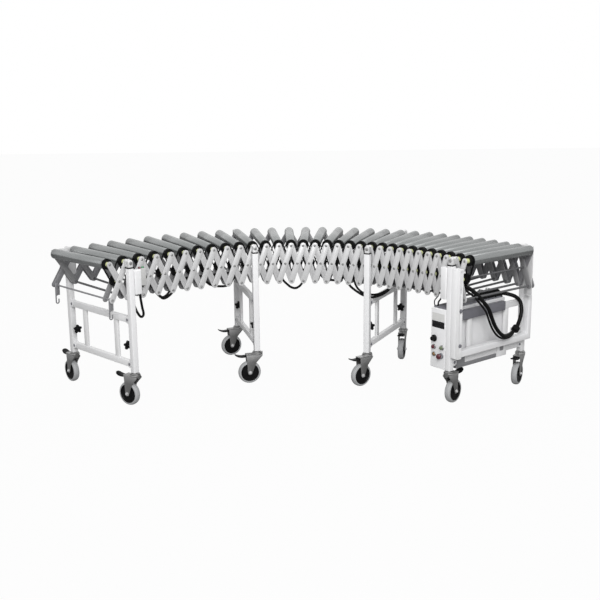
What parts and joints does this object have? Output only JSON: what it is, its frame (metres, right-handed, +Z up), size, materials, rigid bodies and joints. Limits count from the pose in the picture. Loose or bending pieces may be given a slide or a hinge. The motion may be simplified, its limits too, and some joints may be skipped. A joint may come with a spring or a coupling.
{
  "type": "flexible roller conveyor",
  "caption": "Flexible powered roller conveyor bent round a curve: belt-driven rollers between scissor lattices, on castored height-adjustable stands with a control cabinet.",
  "frame": {"origin": "on the floor, under the middle of the whole outline", "axes": "+X from the hook end to the cabinet end across the bend, -Y towards the inside of the bend and the drive side, +Z up"},
  "size_m": [2.4602, 1.007, 0.7438],
  "materials": {
    "steel_tube": "zinc-plated tube, satin",
    "zinc_link": "zinc-plated strip, satin",
    "white_paint": "white powder coat, semi-gloss",
    "fork_zinc": "zinc-plated pressing",
    "grey_tyre": "grey non-marking rubber",
    "black_plastic": "black moulded plastic",
    "black_cable": "black cable sheath",
    "dark_steel": "dark grey steel",
    "red_plastic": "red moulded plastic",
    "green_plastic": "green moulded plastic"
  },
  "bodies": {
    "bed": {"front_lattice": "zinc_link", "rear_lattice": "zinc_link", "cable_harness": "black_cable"},
    "roller_01": {"roller_01": "steel_tube"},
    "roller_02": {"roller_02": "steel_tube"},
    "roller_03": {"roller_03": "steel_tube"},
    "roller_04": {"roller_04": "steel_tube"},
    "roller_05": {"roller_05": "steel_tube"},
    "roller_06": {"roller_06": "steel_tube"},
    "roller_07": {"roller_07": "steel_tube"},
    "roller_08": {"roller_08": "steel_tube"},
    "roller_09": {"roller_09": "steel_tube"},
    "roller_10": {"roller_10": "steel_tube"},
    "roller_11": {"roller_11": "steel_tube"},
    "roller_12": {"roller_12": "steel_tube"},
    "roller_13": {"roller_13": "steel_tube"},
    "roller_14": {"roller_14": "steel_tube"},
    "roller_15": {"roller_15": "steel_tube"},
    "roller_16": {"roller_16": "steel_tube"},
    "roller_17": {"roller_17": "steel_tube"},
    "roller_18": {"roller_18": "steel_tube"},
    "roller_19": {"roller_19": "steel_tube"},
    "roller_20": {"roller_20": "steel_tube"},
    "roller_21": {"roller_21": "steel_tube"},
    "roller_22": {"roller_22": "steel_tube"},
    "roller_23": {"roller_23": "steel_tube"},
    "roller_24": {"roller_24": "steel_tube"},
    "roller_25": {"roller_25": "steel_tube"},
    "roller_26": {"roller_26": "steel_tube"},
    "roller_27": {"roller_27": "steel_tube"},
    "roller_28": {"roller_28": "steel_tube"},
    "roller_29": {"roller_29": "steel_tube"},
    "roller_30": {"roller_30": "steel_tube"},
    "roller_31": {"roller_31": "steel_tube"},
    "stand_1": {"stand_1": "white_paint"},
    "front_fork_1": {"front_fork_1": "fork_zinc"},
    "front_wheel_1": {"front_wheel_1": "grey_tyre"},
    "rear_fork_1": {"rear_fork_1": "fork_zinc"},
    "rear_wheel_1": {"rear_wheel_1": "grey_tyre"},
    "stand_2": {"stand_2": "white_paint"},
    "front_fork_2": {"front_fork_2": "fork_zinc"},
    "front_wheel_2": {"front_wheel_2": "grey_tyre"},
    "rear_fork_2": {"rear_fork_2": "fork_zinc"},
    "rear_wheel_2": {"rear_wheel_2": "grey_tyre"},
    "stand_3": {"stand_3": "white_paint"},
    "front_fork_3": {"front_fork_3": "fork_zinc"},
    "front_wheel_3": {"front_wheel_3": "grey_tyre"},
    "rear_fork_3": {"rear_fork_3": "fork_zinc"},
    "rear_wheel_3": {"rear_wheel_3": "grey_tyre"},
    "stand_4": {"stand_4": "white_paint", "control_cabinet": "white_paint"},
    "front_fork_4": {"front_fork_4": "fork_zinc"},
    "front_wheel_4": {"front_wheel_4": "grey_tyre"},
    "rear_fork_4": {"rear_fork_4": "fork_zinc"},
    "rear_wheel_4": {"rear_wheel_4": "grey_tyre"},
    "speed_knob": {"speed_knob": "black_plastic"},
    "start_button": {"start_button": "green_plastic"},
    "stop_button": {"stop_button": "red_plastic"},
    "emergency_stop": {"emergency_stop": "red_plastic"},
    "hook_bar": {"hook_bar": "dark_steel"}
  },
  "joints": [
    {"name": "roller_01_spin", "type": "hinge", "parent": "bed", "child": "roller_01", "pos_m": [-1.02223, -0.29906, 0.72], "axis": [-0.7373, 0.6756, 0], "continuous": true},
    {"name": "roller_02_spin", "type": "hinge", "parent": "bed", "child": "roller_02", "pos_m": [-0.9514, -0.22495, 0.72], "axis": [-0.7082, 0.706, 0], "continuous": true},
    {"name": "roller_03_spin", "type": "hinge", "parent": "bed", "child": "roller_03", "pos_m": [-0.87899, -0.15561, 0.72], "axis": [-0.6746, 0.7381, 0], "continuous": true},
    {"name": "roller_04_spin", "type": "hinge", "parent": "bed", "child": "roller_04", "pos_m": [-0.80493, -0.09129, 0.72], "axis": [-0.6364, 0.7714, 0], "continuous": true},
    {"name": "roller_05_spin", "type": "hinge", "parent": "bed", "child": "roller_05", "pos_m": [-0.72926, -0.03225, 0.72], "axis": [-0.5934, 0.8049, 0], "continuous": true},
    {"name": "roller_06_spin", "type": "hinge", "parent": "bed", "child": "roller_06", "pos_m": [-0.65206, 0.02129, 0.72], "axis": [-0.5459, 0.8379, 0], "continuous": true},
    {"name": "roller_07_spin", "type": "hinge", "parent": "bed", "child": "roller_07", "pos_m": [-0.57349, 0.06914, 0.72], "axis": [-0.4938, 0.8696, 0], "continuous": true},
    {"name": "roller_08_spin", "type": "hinge", "parent": "bed", "child": "roller_08", "pos_m": [-0.49376, 0.11111, 0.72], "axis": [-0.4375, 0.8992, 0], "continuous": true},
    {"name": "roller_09_spin", "type": "hinge", "parent": "bed", "child": "roller_09", "pos_m": [-0.41313, 0.1471, 0.72], "axis": [-0.3772, 0.9261, 0], "continuous": true},
    {"name": "roller_10_spin", "type": "hinge", "parent": "bed", "child": "roller_10", "pos_m": [-0.33191, 0.17699, 0.72], "axis": [-0.3133, 0.9496, 0], "continuous": true},
    {"name": "roller_11_spin", "type": "hinge", "parent": "bed", "child": "roller_11", "pos_m": [-0.25043, 0.20076, 0.72], "axis": [-0.2464, 0.9692, 0], "continuous": true},
    {"name": "roller_12_spin", "type": "hinge", "parent": "bed", "child": "roller_12", "pos_m": [-0.16903, 0.21841, 0.72], "axis": [-0.1771, 0.9842, 0], "continuous": true},
    {"name": "roller_13_spin", "type": "hinge", "parent": "bed", "child": "roller_13", "pos_m": [-0.0881, 0.22998, 0.72], "axis": [-0.1059, 0.9944, 0], "continuous": true},
    {"name": "roller_14_spin", "type": "hinge", "parent": "bed", "child": "roller_14", "pos_m": [-0.00798, 0.23559, 0.72], "axis": [-0.0336, 0.9994, 0], "continuous": true},
    {"name": "roller_15_spin", "type": "hinge", "parent": "bed", "child": "roller_15", "pos_m": [0.07095, 0.23537, 0.72], "axis": [0.0391, 0.9992, 0], "continuous": true},
    {"name": "roller_16_spin", "type": "hinge", "parent": "bed", "child": "roller_16", "pos_m": [0.14835, 0.22952, 0.72], "axis": [0.1115, 0.9938, 0], "continuous": true},
    {"name": "roller_17_spin", "type": "hinge", "parent": "bed", "child": "roller_17", "pos_m": [0.22391, 0.21827, 0.72], "axis": [0.1827, 0.9832, 0], "continuous": true},
    {"name": "roller_18_spin", "type": "hinge", "parent": "bed", "child": "roller_18", "pos_m": [0.29733, 0.2019, 0.72], "axis": [0.2522, 0.9677, 0], "continuous": true},
    {"name": "roller_19_spin", "type": "hinge", "parent": "bed", "child": "roller_19", "pos_m": [0.36838, 0.1807, 0.72], "axis": [0.3193, 0.9476, 0], "continuous": true},
    {"name": "roller_20_spin", "type": "hinge", "parent": "bed", "child": "roller_20", "pos_m": [0.43683, 0.15499, 0.72], "axis": [0.3834, 0.9236, 0], "continuous": true},
    {"name": "roller_21_spin", "type": "hinge", "parent": "bed", "child": "roller_21", "pos_m": [0.50254, 0.12512, 0.72], "axis": [0.4439, 0.8961, 0], "continuous": true},
    {"name": "roller_22_spin", "type": "hinge", "parent": "bed", "child": "roller_22", "pos_m": [0.56539, 0.09143, 0.72], "axis": [0.5005, 0.8657, 0], "continuous": true},
    {"name": "roller_23_spin", "type": "hinge", "parent": "bed", "child": "roller_23", "pos_m": [0.62532, 0.05427, 0.72], "axis": [0.5529, 0.8333, 0], "continuous": true},
    {"name": "roller_24_spin", "type": "hinge", "parent": "bed", "child": "roller_24", "pos_m": [0.68231, 0.014, 0.72], "axis": [0.6007, 0.7995, 0], "continuous": true},
    {"name": "roller_25_spin", "type": "hinge", "parent": "bed", "child": "roller_25", "pos_m": [0.73641, -0.02904, 0.72], "axis": [0.644, 0.7651, 0], "continuous": true},
    {"name": "roller_26_spin", "type": "hinge", "parent": "bed", "child": "roller_26", "pos_m": [0.7877, -0.07452, 0.72], "axis": [0.6825, 0.7309, 0], "continuous": true},
    {"name": "roller_27_spin", "type": "hinge", "parent": "bed", "child": "roller_27", "pos_m": [0.83632, -0.12213, 0.72], "axis": [0.7164, 0.6977, 0], "continuous": true},
    {"name": "roller_28_spin", "type": "hinge", "parent": "bed", "child": "roller_28", "pos_m": [0.88243, -0.17157, 0.72], "axis": [0.7458, 0.6662, 0], "continuous": true},
    {"name": "roller_29_spin", "type": "hinge", "parent": "bed", "child": "roller_29", "pos_m": [0.92626, -0.22256, 0.72], "axis": [0.7707, 0.6372, 0], "continuous": true},
    {"name": "roller_30_spin", "type": "hinge", "parent": "bed", "child": "roller_30", "pos_m": [0.96806, -0.27486, 0.72], "axis": [0.7914, 0.6113, 0], "continuous": true},
    {"name": "roller_31_spin", "type": "hinge", "parent": "bed", "child": "roller_31", "pos_m": [1.00812, -0.32823, 0.72], "axis": [0.808, 0.5892, 0], "continuous": true},
    {"name": "stand_1_height", "type": "slide", "parent": "bed", "child": "stand_1", "axis": [0, 0, -1], "range_m": [0, 0.12]},
    {"name": "front_swivel_1", "type": "hinge", "parent": "stand_1", "child": "front_fork_1", "pos_m": [-0.76931, -0.40646, 0.172], "axis": [0, 0, 1], "continuous": true},
    {"name": "front_wheel_1_spin", "type": "hinge", "parent": "front_fork_1", "child": "front_wheel_1", "pos_m": [-0.80453, -0.38358, 0.06], "axis": [-0.5446, -0.8387, 0], "continuous": true},
    {"name": "rear_swivel_1", "type": "hinge", "parent": "stand_1", "child": "rear_fork_1", "pos_m": [-1.15226, -0.02474, 0.172], "axis": [0, 0, 1], "continuous": true},
    {"name": "rear_wheel_1_spin", "type": "hinge", "parent": "rear_fork_1", "child": "rear_wheel_1", "pos_m": [-1.17925, 0.00744, 0.06], "axis": [-0.766, -0.6428, 0], "continuous": true},
    {"name": "stand_2_height", "type": "slide", "parent": "bed", "child": "stand_2", "axis": [0, 0, -1], "range_m": [0, 0.12]},
    {"name": "front_swivel_2", "type": "hinge", "parent": "stand_2", "child": "front_fork_2", "pos_m": [-0.18707, -0.04841, 0.172], "axis": [0, 0, 1], "continuous": true},
    {"name": "front_wheel_2_spin", "type": "hinge", "parent": "front_fork_2", "child": "front_wheel_2", "pos_m": [-0.22764, -0.05928, 0.06], "axis": [0.2588, -0.9659, 0], "continuous": true},
    {"name": "rear_swivel_2", "type": "hinge", "parent": "stand_2", "child": "rear_fork_2", "pos_m": [-0.32031, 0.47562, 0.172], "axis": [0, 0, 1], "continuous": true},
    {"name": "rear_wheel_2_spin", "type": "hinge", "parent": "rear_fork_2", "child": "rear_wheel_2", "pos_m": [-0.35838, 0.45787, 0.06], "axis": [0.4226, -0.9063, 0], "continuous": true},
    {"name": "stand_3_height", "type": "slide", "parent": "bed", "child": "stand_3", "axis": [0, 0, -1], "range_m": [0, 0.12]},
    {"name": "front_swivel_3", "type": "hinge", "parent": "stand_3", "child": "front_fork_3", "pos_m": [0.38841, -0.10526, 0.172], "axis": [0, 0, 1], "continuous": true},
    {"name": "front_wheel_3_spin", "type": "hinge", "parent": "front_fork_3", "child": "front_wheel_3", "pos_m": [0.35487, -0.13054, 0.06], "axis": [0.6018, -0.7986, 0], "continuous": true},
    {"name": "rear_swivel_3", "type": "hinge", "parent": "stand_3", "child": "rear_fork_3", "pos_m": [0.62844, 0.37924, 0.172], "axis": [0, 0, 1], "continuous": true},
    {"name": "rear_wheel_3_spin", "type": "hinge", "parent": "rear_fork_3", "child": "rear_wheel_3", "pos_m": [0.61757, 0.33867, 0.06], "axis": [0.9659, -0.2588, 0], "continuous": true},
    {"name": "stand_4_height", "type": "slide", "parent": "bed", "child": "stand_4", "axis": [0, 0, -1], "range_m": [0, 0.12], "deforming": ["cable_harness"]},
    {"name": "front_swivel_4", "type": "hinge", "parent": "stand_4", "child": "front_fork_4", "pos_m": [0.76459, -0.43203, 0.172], "axis": [0, 0, 1], "continuous": true},
    {"name": "front_wheel_4_spin", "type": "hinge", "parent": "front_fork_4", "child": "front_wheel_4", "pos_m": [0.79159, -0.39985, 0.06], "axis": [-0.766, 0.6428, 0], "continuous": true},
    {"name": "rear_swivel_4", "type": "hinge", "parent": "stand_4", "child": "rear_fork_4", "pos_m": [1.18784, -0.09556, 0.172], "axis": [0, 0, 1], "continuous": true},
    {"name": "rear_wheel_4_spin", "type": "hinge", "parent": "rear_fork_4", "child": "rear_wheel_4", "pos_m": [1.16684, -0.13193, 0.06], "axis": [0.866, -0.5, 0], "continuous": true},
    {"name": "speed_knob_turn", "type": "hinge", "parent": "stand_4", "child": "speed_knob", "pos_m": [0.69893, -0.37273, 0.3225], "axis": [0.7828, 0.6223, 0], "range_deg": [0, 270]},
    {"name": "start_button_press", "type": "slide", "parent": "stand_4", "child": "start_button", "axis": [0.7828, 0.6223, 0], "range_m": [0, 0.005], "stiffness_N_per_m": 400},
    {"name": "stop_button_press", "type": "slide", "parent": "stand_4", "child": "stop_button", "axis": [0.7828, 0.6223, 0], "range_m": [0, 0.005], "stiffness_N_per_m": 400},
    {"name": "emergency_stop_press", "type": "slide", "parent": "stand_4", "child": "emergency_stop", "axis": [0.7828, 0.6223, 0], "range_m": [0, 0.006]},
    {"name": "hook_bar_swing", "type": "hinge", "parent": "bed", "child": "hook_bar", "pos_m": [-1.02191, -0.29935, 0.55332], "axis": [-0.737, 0.6754, 0.0258], "range_deg": [0, 75]}
  ],
  "couplings": [
    {"joint": "roller_01_spin", "follows": "roller_16_spin", "ratio": 1},
    {"joint": "roller_02_spin", "follows": "roller_16_spin", "ratio": 1},
    {"joint": "roller_03_spin", "follows": "roller_16_spin", "ratio": 1},
    {"joint": "roller_04_spin", "follows": "roller_16_spin", "ratio": 1},
    {"joint": "roller_05_spin", "follows": "roller_16_spin", "ratio": 1},
    {"joint": "roller_06_spin", "follows": "roller_16_spin", "ratio": 1},
    {"joint": "roller_07_spin", "follows": "roller_16_spin", "ratio": 1},
    {"joint": "roller_08_spin", "follows": "roller_16_spin", "ratio": 1},
    {"joint": "roller_09_spin", "follows": "roller_16_spin", "ratio": 1},
    {"joint": "roller_10_spin", "follows": "roller_16_spin", "ratio": 1},
    {"joint": "roller_11_spin", "follows": "roller_16_spin", "ratio": 1},
    {"joint": "roller_12_spin", "follows": "roller_16_spin", "ratio": 1},
    {"joint": "roller_13_spin", "follows": "roller_16_spin", "ratio": 1},
    {"joint": "roller_14_spin", "follows": "roller_16_spin", "ratio": 1},
    {"joint": "roller_15_spin", "follows": "roller_16_spin", "ratio": 1},
    {"joint": "roller_17_spin", "follows": "roller_16_spin", "ratio": 1},
    {"joint": "roller_18_spin", "follows": "roller_16_spin", "ratio": 1},
    {"joint": "roller_19_spin", "follows": "roller_16_spin", "ratio": 1},
    {"joint": "roller_20_spin", "follows": "roller_16_spin", "ratio": 1},
    {"joint": "roller_21_spin", "follows": "roller_16_spin", "ratio": 1},
    {"joint": "roller_22_spin", "follows": "roller_16_spin", "ratio": 1},
    {"joint": "roller_23_spin", "follows": "roller_16_spin", "ratio": 1},
    {"joint": "roller_24_spin", "follows": "roller_16_spin", "ratio": 1},
    {"joint": "roller_25_spin", "follows": "roller_16_spin", "ratio": 1},
    {"joint": "roller_26_spin", "follows": "roller_16_spin", "ratio": 1},
    {"joint": "roller_27_spin", "follows": "roller_16_spin", "ratio": 1},
    {"joint": "roller_28_spin", "follows": "roller_16_spin", "ratio": 1},
    {"joint": "roller_29_spin", "follows": "roller_16_spin", "ratio": 1},
    {"joint": "roller_30_spin", "follows": "roller_16_spin", "ratio": 1},
    {"joint": "roller_31_spin", "follows": "roller_16_spin", "ratio": 1}
  ]
}
